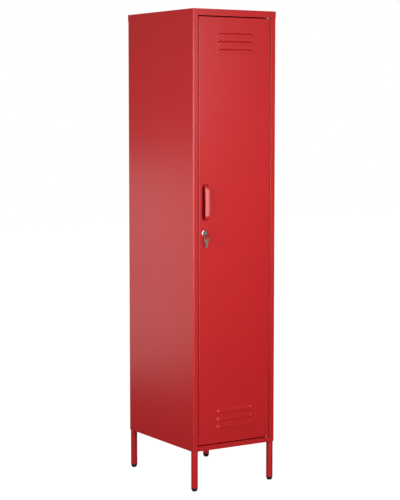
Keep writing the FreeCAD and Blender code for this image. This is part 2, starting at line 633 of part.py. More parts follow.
def handle_cup():
    """A closed pan behind the handle opening, for the fingers."""
    rim = "Dims.handle_width + 2 * Dims.cup_rim"
    long_rim = "Dims.handle_length + 2 * Dims.cup_rim"
    back = "(%s + Dims.sheet)" % FACE
    wide, tall = "Dims.handle_width + 2 * Dims.sheet", "Dims.handle_length + 2 * Dims.sheet"
    flange = stadium("cup_flange", HANDLE_X, "Dims.handle_z", rim, long_rim, back, "Dims.sheet")
    wall = stadium("cup_wall", HANDLE_X, "Dims.handle_z", wide, tall, back, "Dims.cup_depth")
    room = stadium("cup_room", HANDLE_X, "Dims.handle_z", "Dims.handle_width", "Dims.handle_length",
                   back, "Dims.cup_depth - Dims.sheet")
    return keep(cut(fuse([flange, wall]), [room]), "handle_cup")


def handle_hood():
    """A pressed scoop over the right of the opening, open towards the door's free edge."""
    body = new_body("handle_hood")
    free = "(%s - Dims.hood_offset)" % HANDLE_X
    low = "(Dims.handle_z - Dims.handle_length / 2 + Dims.sheet)"
    high = "(Dims.handle_z + Dims.handle_length / 2 - Dims.sheet)"
    crest = "(%s + Dims.hood_crest)" % free
    base = "(%s + Dims.hood_base)" % free
    wedge(body, "Additive", "hood_outer",
          (free, crest, "%s + Dims.hood_low_slope" % low, "%s - Dims.hood_top_slope" % high),
          (free, base, low, high), ("%s - Dims.hood_reach" % FACE, FACE))
    doc.recompute()
    left, face = value(free), value(FACE)
    bend(body, "hood_bends", body.Tip, "Dims.hood_bend", lambda box:
         box.YMin < face - 0.1 and not (near(box.XMin, left) and near(box.XMax, left)))
    wedge(body, "Subtractive", "hood_inner",
          ("%s - 1" % free, "%s - Dims.hood_crest_wall" % crest,
           "%s + Dims.hood_low_slope + Dims.hood_crest_wall" % low,
           "%s - Dims.hood_top_slope - Dims.hood_crest_wall" % high),
          ("%s - 1" % free, "%s - Dims.hood_base_wall" % base,
           "%s + Dims.hood_base_wall" % low, "%s - Dims.hood_base_wall" % high),
          ("%s - Dims.hood_reach + Dims.hood_wall" % FACE, FACE))
    return body


def hinge_bush(label, z, outward):
    """A plastic bush in the door's end flange: its collar lies outside, its sleeve goes in."""
    body = new_body(label)
    collar_z = z if outward > 0 else "%s - Dims.bush_collar" % z
    sleeve_z = "%s - Dims.bush_length" % z if outward > 0 else z
    bore_z = "%s - Dims.bush_length - 1" % z if outward > 0 else "%s - Dims.bush_collar - 1" % z
    drum(body, "Additive", label + "_collar", (PIN_X, PIN_Y, collar_z), "Z",
         "Dims.bush_collar_radius", "Dims.bush_collar")
    drum(body, "Additive", label + "_sleeve", (PIN_X, PIN_Y, sleeve_z), "Z", "Dims.bush_radius",
         "Dims.bush_length")
    drum(body, "Subtractive", label + "_bore", (PIN_X, PIN_Y, bore_z), "Z",
         "Dims.pin_radius + Dims.running_fit", "Dims.bush_length + Dims.bush_collar + 2")
    return body


def hinge_pin(label, seat_z, inward):
    """A headed pin: its head is behind the rail's sheet and its shaft reaches into the bush."""
    body = new_body(label)
    shaft = "(Dims.sheet + Dims.door_end_gap + Dims.pin_reach)"
    head_z = seat_z if inward < 0 else "%s - Dims.pin_head" % seat_z
    shaft_z = "%s - %s" % (seat_z, shaft) if inward < 0 else seat_z
    drum(body, "Additive", label + "_head", (PIN_X, PIN_Y, head_z), "Z", "Dims.pin_head_radius",
         "Dims.pin_head")
    drum(body, "Additive", label + "_shaft", (PIN_X, PIN_Y, shaft_z), "Z", "Dims.pin_radius", shaft)
    return body


def lower_hinge_washer():
    body = new_body("lower_hinge_washer")
    drum(body, "Additive", "washer_disc", (PIN_X, PIN_Y, FLOOR), "Z", "Dims.washer_radius",
         "Dims.washer_thickness")
    drum(body, "Subtractive", "washer_bore", (PIN_X, PIN_Y, FLOOR), "Z",
         "Dims.pin_radius + Dims.running_fit", "Dims.washer_thickness")
    return body


def door_buffers():
    """Rubber buttons on the lock side's door stop."""
    start = "(%s + Dims.buffer_relief)" % DOOR_BACK
    buffers = []
    for tag, z in (("low", "%s + Dims.buffer_margin" % DOOR_LOW),
                   ("high", "%s - Dims.buffer_margin" % DOOR_HIGH)):
        buffers.append(drum(None, "Part", "buffer_" + tag,
                            ("-%s + Dims.buffer_inset" % MOUTH, start, z), "Y", "Dims.buffer_radius",
                            "%s - Dims.sheet - %s" % (STOP_Y, start)))
    return group("door_buffers", buffers)


# ---- lock and keys ----------------------------------------------------------------------------

LOCK_FRONT = "(%s - Dims.lock_face)" % FACE
LOCK_END = "(%s + Dims.lock_length)" % FACE
CAM_Y = "(%s + Dims.cam_clearance)" % STOP_Y


def lock_housing():
    """The lock's round face and threaded barrel, with the bore that the plug turns in."""
    body = new_body("lock_housing")
    drum(body, "Additive", "lock_rose", (LOCK_X, LOCK_FRONT, LOCK_Z), "Y", "Dims.lock_face_radius",
         "Dims.lock_face")
    doc.recompute()
    front = value(LOCK_FRONT)
    bend(body, "lock_rose_edge", body.Tip, "Dims.lock_face / 3", lambda box:
         near(box.YMax, front))
    drum(body, "Additive", "lock_barrel", (LOCK_X, LOCK_FRONT, LOCK_Z), "Y", "Dims.barrel_radius",
         "Dims.lock_face + Dims.lock_length")
    drum(body, "Subtractive", "lock_bore", (LOCK_X, "%s - 1" % LOCK_FRONT, LOCK_Z), "Y",
         "Dims.plug_radius + Dims.running_fit", "Dims.lock_face + Dims.lock_length + 2")
    return body


def lock_nut():
    start = (LOCK_X, "%s + Dims.sheet" % FACE, LOCK_Z)
    blank = hex_prism("lock_nut_blank", start, "Y", "Dims.lock_nut_flats", "Dims.lock_nut")
    thread = drum(None, "Part", "lock_nut_thread", start, "Y", "Dims.barrel_radius + Dims.thread_fit",
                  "Dims.lock_nut")
    return keep(cut(blank, [thread]), "lock_nut")


def lock_plug():
    """The turning core: a keyway in front and a square tail for the cam behind."""
    body = new_body("lock_plug")
    start = "(%s + Dims.plug_recess)" % LOCK_FRONT
    drum(body, "Additive", "plug_core", (LOCK_X, start, LOCK_Z), "Y", "Dims.plug_radius",
         "%s - %s" % (CAM_Y, start))
    half = "Dims.tail_side / 2"
    block(body, "Additive", "plug_tail", ("%s - %s" % (LOCK_X, half), CAM_Y, "%s - %s" % (LOCK_Z, half)),
          ("%s + %s" % (LOCK_X, half), "%s + Dims.cam_thickness" % CAM_Y, "%s + %s" % (LOCK_Z, half)))
    block(body, "Subtractive", "keyway",
          ("%s - Dims.keyway_width / 2" % LOCK_X, "%s - 1" % start, "%s - Dims.keyway_height / 2" % LOCK_Z),
          ("%s + Dims.keyway_width / 2" % LOCK_X, "%s + Dims.keyway_depth" % start,
           "%s + Dims.keyway_height / 2" % LOCK_Z))
    drum(body, "Subtractive", "cam_screw_hole",
         (LOCK_X, "%s + Dims.cam_thickness - Dims.cam_screw_length + Dims.cam_screw_head" % CAM_Y, LOCK_Z),
         "Y", "Dims.cam_screw_radius + Dims.thread_fit", "Dims.cam_screw_length")
    return body


def lock_cam():
    """A flat arm on the plug's tail, pointing down when the lock is open."""
    body = new_body("lock_cam")
    half = "Dims.cam_width / 2"
    drum(body, "Additive", "cam_eye", (LOCK_X, CAM_Y, LOCK_Z), "Y", half, "Dims.cam_thickness")
    block(body, "Additive", "cam_arm",
          ("%s - %s" % (LOCK_X, half), CAM_Y, "%s - Dims.cam_length" % LOCK_Z),
          ("%s + %s" % (LOCK_X, half), "%s + Dims.cam_thickness" % CAM_Y, LOCK_Z))
    doc.recompute()
    tip = value("%s - Dims.cam_length" % LOCK_Z)
    bend(body, "cam_tip", body.Tip, "Dims.cam_tip_radius", lambda box:
         box.YLength > 1 and near(box.ZMin, tip) and near(box.ZMax, tip))
    side = "(Dims.tail_side / 2 + Dims.thread_fit)"
    block(body, "Subtractive", "cam_square",
          ("%s - %s" % (LOCK_X, side), "%s - 1" % CAM_Y, "%s - %s" % (LOCK_Z, side)),
          ("%s + %s" % (LOCK_X, side), "%s + Dims.cam_thickness + 1" % CAM_Y, "%s + %s" % (LOCK_Z, side)))
    return body


def cam_screw():
    body = new_body("cam_screw")
    head = "(%s + Dims.cam_thickness)" % CAM_Y
    drum(body, "Additive", "cam_screw_head_disc", (LOCK_X, head, LOCK_Z), "Y",
         "Dims.cam_screw_head_radius", "Dims.cam_screw_head")
    drum(body, "Additive", "cam_screw_shank",
         (LOCK_X, "%s - Dims.cam_screw_length + Dims.cam_screw_head" % head, LOCK_Z), "Y",
         "Dims.cam_screw_radius", "Dims.cam_screw_length")
    slot = "Dims.screw_slot / 2"
    block(body, "Subtractive", "screw_slot",
          ("%s - 2 * Dims.cam_screw_head_radius" % LOCK_X, "%s + Dims.cam_screw_head / 2" % head,
           "%s - %s" % (LOCK_Z, slot)),
          ("%s + 2 * Dims.cam_screw_head_radius" % LOCK_X, "%s + Dims.cam_screw_head" % head,
           "%s + %s" % (LOCK_Z, slot)))
    return body


BOW_TIP = "(%s - Dims.key_reach)" % FRONT
BOW_Y = "(%s + Dims.bow_radius - Dims.bow_flat)" % BOW_TIP
HOLE_Y = "(%s + Dims.bow_hole_margin)" % BOW_TIP
RING_TOP = "(%s - Dims.bow_hole_radius + Dims.ring_wire + Dims.key_slack)" % LOCK_Z
RING_LOW = "(%s - 2 * Dims.ring_radius)" % RING_TOP
PLUG_FRONT = "(%s + Dims.plug_recess)" % LOCK_FRONT


def door_key():
    """A flat key with an oval bow, standing in the keyway."""
    body = new_body("door_key")
    thick = "Dims.key_thickness / 2"
    reach = "(%s - %s)" % (PLUG_FRONT, BOW_TIP)
    low, high = "%s - %s" % (LOCK_X, thick), "%s + %s" % (LOCK_X, thick)
    drum(body, "Additive", "bow_disc", (low, BOW_Y, LOCK_Z), "X", "Dims.bow_radius",
         "Dims.key_thickness")
    half = "Dims.key_blade / 2"
    block(body, "Additive", "key_blade_bar", (low, BOW_Y, "%s - %s" % (LOCK_Z, half)),
          (high, "%s + Dims.key_blade_length" % PLUG_FRONT, "%s + %s" % (LOCK_Z, half)))
    block(body, "Subtractive", "bow_front_trim", ("%s - 1" % low, "%s - Dims.bow_radius" % BOW_TIP,
          "%s - 2 * Dims.bow_radius" % LOCK_Z), ("%s + 1" % high, BOW_TIP,
          "%s + 2 * Dims.bow_radius" % LOCK_Z))
    block(body, "Subtractive", "bow_back_trim", ("%s - 1" % low, "%s - Dims.key_neck" % LOCK_FRONT,
          "%s + %s" % (LOCK_Z, half)), ("%s + 1" % high, "%s + Dims.bow_radius" % LOCK_FRONT,
          "%s + 2 * Dims.bow_radius" % LOCK_Z))
    block(body, "Subtractive", "bow_low_trim", ("%s - 1" % low, "%s - Dims.key_neck" % LOCK_FRONT,
          "%s - 2 * Dims.bow_radius" % LOCK_Z), ("%s + 1" % high, "%s + Dims.bow_radius" % LOCK_FRONT,
          "%s - %s" % (LOCK_Z, half)))
    drum(body, "Subtractive", "bow_hole", ("%s - 1" % low, HOLE_Y, LOCK_Z), "X",
         "Dims.bow_hole_radius", "Dims.key_thickness + 2")
    return body


def key_ring():
    """A wire ring that hangs from the bow's hole."""
    ring = doc.addObject("Part::Torus", "ring_wire")
    ring.Placement = FreeCAD.Placement(FreeCAD.Vector(), TURNS["Y"])
    bind(ring, Radius1="Dims.ring_radius", Radius2="Dims.ring_wire")
    place(ring, LOCK_X, HOLE_Y, "%s - Dims.ring_radius" % RING_TOP)
    return keep(ring, "key_ring")


def spare_key():
    """The second key, which hangs from the ring and is turned a little towards the front."""
    body = new_body("spare_key")
    low, high = "-Dims.key_thickness / 2", "Dims.key_thickness / 2"
    bow_z = "(Dims.bow_hole_margin - Dims.spare_hang - Dims.spare_bow_radius)"
    tip_z = "(%s + Dims.spare_bow_radius - Dims.spare_length)" % bow_z
    drum(body, "Additive", "spare_bow", (low, "0", bow_z), "X", "Dims.spare_bow_radius",
         "Dims.key_thickness")
    block(body, "Additive", "spare_blade", (low, "-Dims.key_blade / 2", tip_z),
          (high, "Dims.key_blade / 2", bow_z))
    drum(body, "Subtractive", "spare_hole", ("%s - 1" % low, "0", "-Dims.spare_hang"), "X",
         "Dims.spare_hole_radius", "Dims.key_thickness + 2")
    body.Placement = FreeCAD.Placement(FreeCAD.Vector(), FreeCAD.Rotation(FreeCAD.Vector(0, 0, 1), 1))
    body.setExpression("Placement.Rotation.Angle", "Dims.spare_turn * 1deg")
    place(body, LOCK_X, HOLE_Y, RING_LOW)
    return body


def build():
    top_cap()
    for side in (-1, 1):
        side_panel(side)
        rail_socket(side)
    back_panel()
    back_panel_rivets()
    bottom_tray()
    for label, height in (("hat_shelf", "Dims.hat_shelf_z"), ("lower_shelf", "Dims.lower_shelf_z")):
        shelf(label, height)
        shelf_bracket(label + "_bracket_left", -1, height)
        shelf_bracket(label + "_bracket_right", 1, height)
    hanging_rail()
    for corner in CORNERS:
        leg(corner)
        foot(corner)
        leg_stud(corner)
        corner_plate(corner)
    leg_nuts()
    door_skin()
    door_stiffener()
    handle_cup()
    handle_hood()
    hinge_bush("upper_hinge_bush", DOOR_HIGH, 1)
    hinge_bush("lower_hinge_bush", DOOR_LOW, -1)
    hinge_pin("upper_hinge_pin", "%s + Dims.sheet" % RAIL, -1)
    hinge_pin("lower_hinge_pin", "%s - Dims.sheet" % FLOOR, 1)
    lower_hinge_washer()
    door_buffers()
    lock_housing()
    lock_nut()
    lock_plug()
    lock_cam()
    cam_screw()
    door_key()
    key_ring()
    spare_key()


def check():
    for obj in doc.Objects:
        if "Invalid" in obj.State or "Error" in obj.State:
            raise RuntimeError("%s failed: %s" % (obj.Label, obj.State))
    for part in parts:
        if part.Shape.isNull() or not part.Shape.isValid() or not part.Shape.Solids:
            raise RuntimeError("%s has no valid solid" % part.Label)


def write():
    os.makedirs("parts", exist_ok=True)
    for part in parts:
        part.Shape.exportStep("parts/%s.step" % part.Label)
        print("%-30s %d solid %12.1f mm3" % (part.Label, len(part.Shape.Solids), part.Shape.Volume))


build()
doc.recompute()
check()
write()
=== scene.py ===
"""Looks of the tall red steel locker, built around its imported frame."""
import json
import math

import bmesh
import bpy
from mathutils import Matrix, Vector


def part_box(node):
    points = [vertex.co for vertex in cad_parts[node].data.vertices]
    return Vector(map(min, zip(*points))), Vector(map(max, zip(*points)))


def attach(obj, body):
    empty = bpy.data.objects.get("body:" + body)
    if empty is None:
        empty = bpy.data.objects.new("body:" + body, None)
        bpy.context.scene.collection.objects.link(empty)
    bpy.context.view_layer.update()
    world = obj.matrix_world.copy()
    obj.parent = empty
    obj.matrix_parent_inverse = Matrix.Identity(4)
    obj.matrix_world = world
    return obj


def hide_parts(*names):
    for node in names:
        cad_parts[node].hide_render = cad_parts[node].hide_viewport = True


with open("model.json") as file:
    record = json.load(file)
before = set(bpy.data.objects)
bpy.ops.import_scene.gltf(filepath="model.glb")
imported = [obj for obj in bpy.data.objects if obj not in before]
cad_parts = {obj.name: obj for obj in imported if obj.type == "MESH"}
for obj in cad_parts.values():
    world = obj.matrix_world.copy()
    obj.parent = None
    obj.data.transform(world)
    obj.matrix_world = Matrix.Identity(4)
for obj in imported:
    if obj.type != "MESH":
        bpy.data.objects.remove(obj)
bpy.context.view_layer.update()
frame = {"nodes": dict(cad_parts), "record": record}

MM = 0.001
NODES = frame["nodes"]
SLOT_OF = {entry["node"]: entry["material_slot"] for entry in frame["record"]["subparts"]}
BODY_OF = {node: body for body, nodes in frame["record"]["behaviour"]["bodies"].items() for node in nodes}
# Plain sRGB view, so that the coat's hex values come out as they are written
bpy.context.scene.view_settings.view_transform = "Standard"


# ---- shader helpers ---------------------------------------------------------------------------

def linear(hex_colour, alpha=1.0):
    """An sRGB hex colour as the linear values that sockets take."""
    parts = [int(hex_colour[i:i + 2], 16) / 255 for i in (1, 3, 5)]
    return [c / 12.92 if c <= 0.04045 else ((c + 0.055) / 1.055) ** 2.4 for c in parts] + [alpha]


def add(tree, kind, settings=None, **links):
    """One shader or geometry node: settings are its own options, links its sockets' values or sources."""
    node = tree.nodes.new(kind)
    for name, setting in (settings or {}).items():
        setattr(node, name, setting)
    for name, source in links.items():
        socket = node.inputs[int(name[1:]) if name[0] == "_" else name.replace("__", " ")]
        if isinstance(source, bpy.types.NodeSocket):
            tree.links.new(source, socket)
        else:
            socket.default_value = source
    return node


def new_material(name):
    """An empty node material, its tree, and the place on the piece that its patterns follow."""
    material = bpy.data.materials.new(name)
    material.use_nodes = True
    tree = material.node_tree
    tree.nodes.clear()
    place = add(tree, "ShaderNodeTexCoord").outputs["Object"]
    return material, tree, place


def close(tree, **sockets):
    """Ends a material's tree with the Principled shader and its output."""
    shader = add(tree, "ShaderNodeBsdfPrincipled", None, **sockets)
    add(tree, "ShaderNodeOutputMaterial", None, Surface=shader.outputs[0])


def per_mm(size):
    """Noise scale for features of a real size in millimetres."""
    return 1 / (size * MM)


def powder_coat(name, colour, shade, roughness):
    """Baked polyester powder coat on sheet steel: a semi-gloss skin that flowed into a fine orange
    peel, with a slow drift in depth of colour where the coat is thicker."""
    drift_mm, peel_mm, grit_mm, relief_mm, grit_share = 260, 2.2, 0.35, 0.03, 0.25
    material, tree, place = new_material(name)
    drift = add(tree, "ShaderNodeTexNoise", None, Vector=place, Scale=per_mm(drift_mm), Detail=3.0)
    tint = add(tree, "ShaderNodeMix", {"data_type": "RGBA"}, Factor=drift.outputs["Fac"],
               _6=linear(colour), _7=linear(shade))
    peel = add(tree, "ShaderNodeTexNoise", None, Vector=place, Scale=per_mm(peel_mm), Detail=1.0)
    grit = add(tree, "ShaderNodeTexNoise", None, Vector=place, Scale=per_mm(grit_mm), Detail=2.0)
    skin = add(tree, "ShaderNodeMath", {"operation": "MULTIPLY_ADD"}, _0=grit.outputs["Fac"],
               _1=grit_share, _2=peel.outputs["Fac"])
    rough = add(tree, "ShaderNodeMapRange", None, Value=drift.outputs["Fac"], _3=roughness - 0.02,
                _4=roughness + 0.03)
    bump = add(tree, "ShaderNodeBump", None, Strength=0.35, Distance=relief_mm * MM,
               Height=skin.outputs[0])
    close(tree, Base__Color=tint.outputs[2], Roughness=rough.outputs[0], Normal=bump.outputs[0],
          IOR=1.5)
    return material


def plated(name, bright, dull, roughness, cloud, scratch):
    """Electroplated metal: clouded a little where the bath was uneven, with hairlines from handling
    that run one way and catch the light."""
    stretch, relief_mm = 14.0, 0.01
    material, tree, place = new_material(name)
    clouds = add(tree, "ShaderNodeTexNoise", None, Vector=place, Scale=per_mm(cloud), Detail=4.0)
    tint = add(tree, "ShaderNodeMix", {"data_type": "RGBA"}, Factor=clouds.outputs["Fac"],
               _6=linear(bright), _7=linear(dull))
    drawn = add(tree, "ShaderNodeMapping", None, Vector=place, Scale=(1.0, 1.0, stretch))
    hairs = add(tree, "ShaderNodeTexNoise", None, Vector=drawn.outputs[0],
                Scale=per_mm(scratch * stretch), Detail=5.0)
    rough = add(tree, "ShaderNodeMapRange", None, Value=hairs.outputs["Fac"], _3=roughness * 0.7,
                _4=roughness * 1.4)
    bump = add(tree, "ShaderNodeBump", None, Strength=0.25, Distance=relief_mm * MM,
               Height=hairs.outputs["Fac"])
    close(tree, Base__Color=tint.outputs[2], Roughness=rough.outputs[0], Normal=bump.outputs[0],
          Metallic=1.0)
    return material


def moulded(name, colour, shade, roughness, grain, depth):
    """Moulded plastic or rubber: an eroded mould's grain, and flow marks that shift its tone."""
    flow_mm = 9
    material, tree, place = new_material(name)
    flow = add(tree, "ShaderNodeTexNoise", None, Vector=place, Scale=per_mm(flow_mm), Detail=2.0,
               Distortion=0.6)
    tint = add(tree, "ShaderNodeMix", {"data_type": "RGBA"}, Factor=flow.outputs["Fac"],
               _6=linear(colour), _7=linear(shade))
    texture = add(tree, "ShaderNodeTexVoronoi", None, Vector=place, Scale=per_mm(grain))
    rough = add(tree, "ShaderNodeMapRange", None, Value=texture.outputs["Distance"],
                _3=roughness - 0.06, _4=roughness + 0.08)
    bump = add(tree, "ShaderNodeBump", None, Strength=0.5, Distance=depth * MM,
               Height=texture.outputs["Distance"])
    close(tree, Base__Color=tint.outputs[2], Roughness=rough.outputs[0], Normal=bump.outputs[0],
          IOR=1.49)
    return material


RED = powder_coat("red_powder_coat", "#c22022", "#bb1d1f", 0.3)
MATERIALS = {
    "red_powder_coat": RED,
    "zinc_plated_steel": plated("bright_zinc_plate", "#c3c6c9", "#a9adb2", 0.32, 7.0, 0.12),
    "chromed_zinc": plated("polished_chrome_plate", "#dcdcde", "#c9c9cd", 0.2, 5.0, 0.08),
    "nickel_plated_steel": plated("stamped_nickel_plate", "#9c9690", "#7d7772", 0.26, 3.0, 0.10),
    "black_plastic": moulded("black_polyethylene", "#1a1a1b", "#232324", 0.5, 0.7, 0.04),
    "nylon": moulded("natural_nylon", "#cfcabf", "#c2bcb0", 0.46, 0.6, 0.02),
    "rubber": moulded("black_rubber", "#1d1d1d", "#272727", 0.78, 0.5, 0.04),
}

for node, obj in NODES.items():
    obj.data.materials.clear()
    obj.data.materials.append(MATERIALS[SLOT_OF[node]])

# ---- mesh helpers -----------------------------------------------------------------------------

def soften(mesh, sharp):
    """Smooth shading up to the sharp angle in degrees, where each whole flat outweighs its bends."""
    limit = math.cos(math.radians(sharp))
    faces = mesh.polygons
    flats = [tuple(round(c, 3) for c in face.normal) + (round(face.normal.dot(face.center), 5),)
             for face in faces]
    sizes, around = {}, [[] for _ in mesh.vertices]
    for face, flat in zip(faces, flats):
        sizes[flat] = sizes.get(flat, 0.0) + face.area
        for corner in face.vertices:
            around[corner].append(face.index)
    normals = []
    for face in faces:
        for corner in face.vertices:
            normals.append(sum((faces[k].normal * sizes[flats[k]] for k in around[corner]
                                if faces[k].normal.dot(face.normal) > limit), Vector()).normalized())
    mesh.shade_smooth()
    mesh.normals_split_custom_set(normals)


def finish_mesh(mesh, name, body, slot, replaced=(), sharp=35.0):
    """A finished piece from its mesh: shaded, given its slot's finish and fixed to its body."""
    mesh.name = name
    soften(mesh, sharp)
    mesh.materials.clear()
    mesh.materials.append(MATERIALS[slot])
    piece = bpy.data.objects.new(name, mesh)
    bpy.context.collection.objects.link(piece)
    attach(piece, body)
    if replaced:
        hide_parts(*replaced)
    return piece


def mesh_from(name, build):
    """A mesh that build() fills through bmesh, with its faces turned outwards."""
    shape = bmesh.new()
    build(shape)
    bmesh.ops.remove_doubles(shape, verts=shape.verts, dist=0.001 * MM)
    bmesh.ops.recalc_face_normals(shape, faces=shape.faces)
    mesh = bpy.data.meshes.new(name)
    shape.to_mesh(mesh)
    shape.free()
    return mesh


def modified(mesh, *steps):
    """The mesh after a stack of modifiers, each a kind with its settings."""
    carrier = bpy.data.objects.new(mesh.name + "_carrier", mesh)
    bpy.context.collection.objects.link(carrier)
    for kind, settings in steps:
        modifier = carrier.modifiers.new(kind.lower(), kind)
        for key, setting in settings.items():
            setattr(modifier, key, setting)
    result = plain_copy(carrier)
    bpy.data.objects.remove(carrier)
    return result


def plain_copy(carrier):
    """The evaluated object as a plain mesh."""
    bpy.context.view_layer.update()
    graph = bpy.context.evaluated_depsgraph_get()
    return bpy.data.meshes.new_from_object(carrier.evaluated_get(graph), depsgraph=graph)


def grid_faces(shape, rows):
    """Quads between rows of vertices."""
    for low, high in zip(rows, rows[1:]):
        for k in range(len(low) - 1):
            shape.faces.new((low[k], low[k + 1], high[k + 1], high[k]))


def lathe(shape, axis_point, profile, segments=64):
    """A closed profile of radius and depth, turned about a line along Y."""
    rings = []
    for step in range(segments):
        turn = 2 * math.pi * step / segments
        rings.append([shape.verts.new((axis_point.x + radius * MM * math.cos(turn),
                                       axis_point.y + depth * MM,
                                       axis_point.z + radius * MM * math.sin(turn)))
                      for radius, depth in profile])
    for ring, after in zip(rings, rings[1:] + rings[:1]):
        for k in range(len(profile)):
            following = (k + 1) % len(profile)
            shape.faces.new((ring[k], ring[following], after[following], after[k]))


def repeated(base, name, material, lines):
    """Copies of a base mesh along lines of equal steps, by Geometry Nodes, as one plain mesh."""
    tree = bpy.data.node_groups.new(name + "_rows", "GeometryNodeTree")
    tree.interface.new_socket("Base", in_out="INPUT", socket_type="NodeSocketGeometry")
    sockets = {}
    for k in range(len(lines)):
        for label, kind in (("Start", "NodeSocketVector"), ("Step", "NodeSocketVector"),
                            ("Count", "NodeSocketInt")):
            sockets[label, k] = tree.interface.new_socket("%s %d" % (label, k + 1), in_out="INPUT",
                                                          socket_type=kind)
    tree.interface.new_socket("Geometry", in_out="OUTPUT", socket_type="NodeSocketGeometry")
    given = tree.nodes.new("NodeGroupInput")
    rows = add(tree, "GeometryNodeJoinGeometry")
    for k in range(len(lines)):
        row = add(tree, "GeometryNodeMeshLine", {"mode": "OFFSET"},
                  Count=given.outputs["Count %d" % (k + 1)],
                  Start__Location=given.outputs["Start %d" % (k + 1)],
                  Offset=given.outputs["Step %d" % (k + 1)])
        tree.links.new(row.outputs[0], rows.inputs[0])
    copies = add(tree, "GeometryNodeInstanceOnPoints", None, Points=rows.outputs[0],
                 Instance=given.outputs["Base"])
    solid = add(tree, "GeometryNodeRealizeInstances", None, Geometry=copies.outputs[0])
    coated = add(tree, "GeometryNodeSetMaterial", None, Geometry=solid.outputs[0], Material=material)
    add(tree, "NodeGroupOutput", None, Geometry=coated.outputs[0])
    carrier = bpy.data.objects.new(name + "_carrier", base)
    bpy.context.collection.objects.link(carrier)
    modifier = carrier.modifiers.new(name, "NODES")
    modifier.node_group = tree
    for k, (start, step, count) in enumerate(lines):
        modifier[sockets["Start", k].identifier] = tuple(start)
        modifier[sockets["Step", k].identifier] = tuple(step)
        modifier[sockets["Count", k].identifier] = count
    mesh = plain_copy(carrier)
    bpy.data.objects.remove(carrier)
    return mesh


def smooth(t):
    """An even ease from 0 to 1."""
    t = min(max(t, 0.0), 1.0)
    return t * t * (3 - 2 * t)


def pressed(t, fillet=0.22):
    """A straight slope from 0 to 1 with a small fillet at its foot and its shoulder."""
    if t < fillet:
        return max(t + fillet, 0.0) ** 2 / (4 * fillet)
    if t > 1 - fillet:
        return 1 - max(1 + fillet - t, 0.0) ** 2 / (4 * fillet)
    return t


# ---- door sheet and its louvres ---------------------------------------------------------------
# Sizes are in millimetres, and places from the frame in metres
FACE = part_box("left_side_panel")[0].y
SHEET = 1.0
DOOR_LOW, DOOR_HIGH = (corner.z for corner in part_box("door_skin"))
LOUVRE_WIDTH, LOUVRE_RISE, LOUVRE_REACH = 164.0, 16.0, 5.0
LOUVRE_CORNER, LOUVRE_RAMP, LOUVRE_INSET = 14.0, 4.6, 1.0
LOUVRE_PITCH, LOUVRE_MARGIN, LOUVRE_COUNT = 30.2, 59.0, 3
LAND = 2.0  # flat rim kept round each pressed hood
louvre_lines = [
    (Vector((0, FACE, DOOR_LOW + LOUVRE_MARGIN * MM)), Vector((0, 0, LOUVRE_PITCH * MM)), LOUVRE_COUNT),
    (Vector((0, FACE, DOOR_HIGH - (LOUVRE_MARGIN + LOUVRE_RISE) * MM)),
     Vector((0, 0, -LOUVRE_PITCH * MM)), LOUVRE_COUNT),
]


def louvre_height(x, z):
    """How far the hood stands out at a place on it, in millimetres."""
    side = abs(x) - (LOUVRE_WIDTH / 2 - LOUVRE_CORNER)
    rise = z - (LOUVRE_RISE - LOUVRE_CORNER)
    if side > 0 and rise > 0:
        inside = LOUVRE_CORNER - math.hypot(side, rise)
    else:
        inside = LOUVRE_CORNER - max(side, rise)
    return LOUVRE_REACH * pressed((inside - LOUVRE_INSET) / LOUVRE_RAMP)


def louvre_patch(shape):
    """One pressed hood with its flat land, open along its lower edge."""
    end, flank, columns = LOUVRE_WIDTH / 2 + LAND, 24, 10
    inner = LOUVRE_WIDTH / 2 + LAND - flank
    xs = [-end + k for k in range(flank)]
    xs += [-inner + 2 * inner * k / columns for k in range(columns + 1)]
    xs += [inner + k for k in range(1, flank + 1)]
    rows = []
    for z in range(int(LOUVRE_RISE + LAND) + 1):
        rows.append([shape.verts.new((x * MM, -louvre_height(x, z) * MM, z * MM)) for x in xs])
    grid_faces(shape, rows)


louvre_base = mesh_from("louvre", louvre_patch)
if louvre_base.polygons[0].normal.y > 0:
    louvre_base.flip_normals()
louvre_base = modified(louvre_base, ("SOLIDIFY", {"thickness": SHEET * MM, "offset": -1.0}))
louvres = repeated(louvre_base, "louvres", RED, louvre_lines)
finish_mesh(louvres, "door_louvres", "door", "red_powder_coat", sharp=50.0)


def louvre_cutter(shape):
    """Blocks as large as each louvre with its land, through the sheet and its first rough hood."""
    half, high = (LOUVRE_WIDTH / 2 + LAND) * MM, (LOUVRE_RISE + LAND) * MM
    behind, ahead = 3 * SHEET * MM, 3 * LOUVRE_REACH * MM
    for start, step, count in louvre_lines:
        for number in range(count):
            low = start + step * number
            middle = low + Vector((0, (behind - ahead) / 2, high / 2))
            size = Vector((2 * half, behind + ahead, high))
            bmesh.ops.create_cube(shape, size=1.0,
                                  matrix=Matrix.Translation(middle) @ Matrix.Diagonal(size.to_4d()))


def merged_copy(shape, node):
    """A CAD node's loose triangles, which mesh_from merges."""
    shape.from_mesh(NODES[node].data)


cutter = bpy.data.objects.new("louvre_cutter", mesh_from("louvre_cutter", louvre_cutter))
bpy.context.collection.objects.link(cutter)
door_sheet = modified(mesh_from("door_sheet", lambda shape: merged_copy(shape, "door_skin")),
                      ("BOOLEAN", {"object": cutter, "operation": "DIFFERENCE", "solver": "EXACT"}))
bpy.data.objects.remove(cutter)
finish_mesh(door_sheet, "door_sheet", "door", "red_powder_coat", ("door_skin",))

# ---- handle hood ------------------------------------------------------------------------------
hood_low, hood_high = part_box("handle_hood")
HOOD_WALL, HOOD_EDGE = 1.2, 0.4


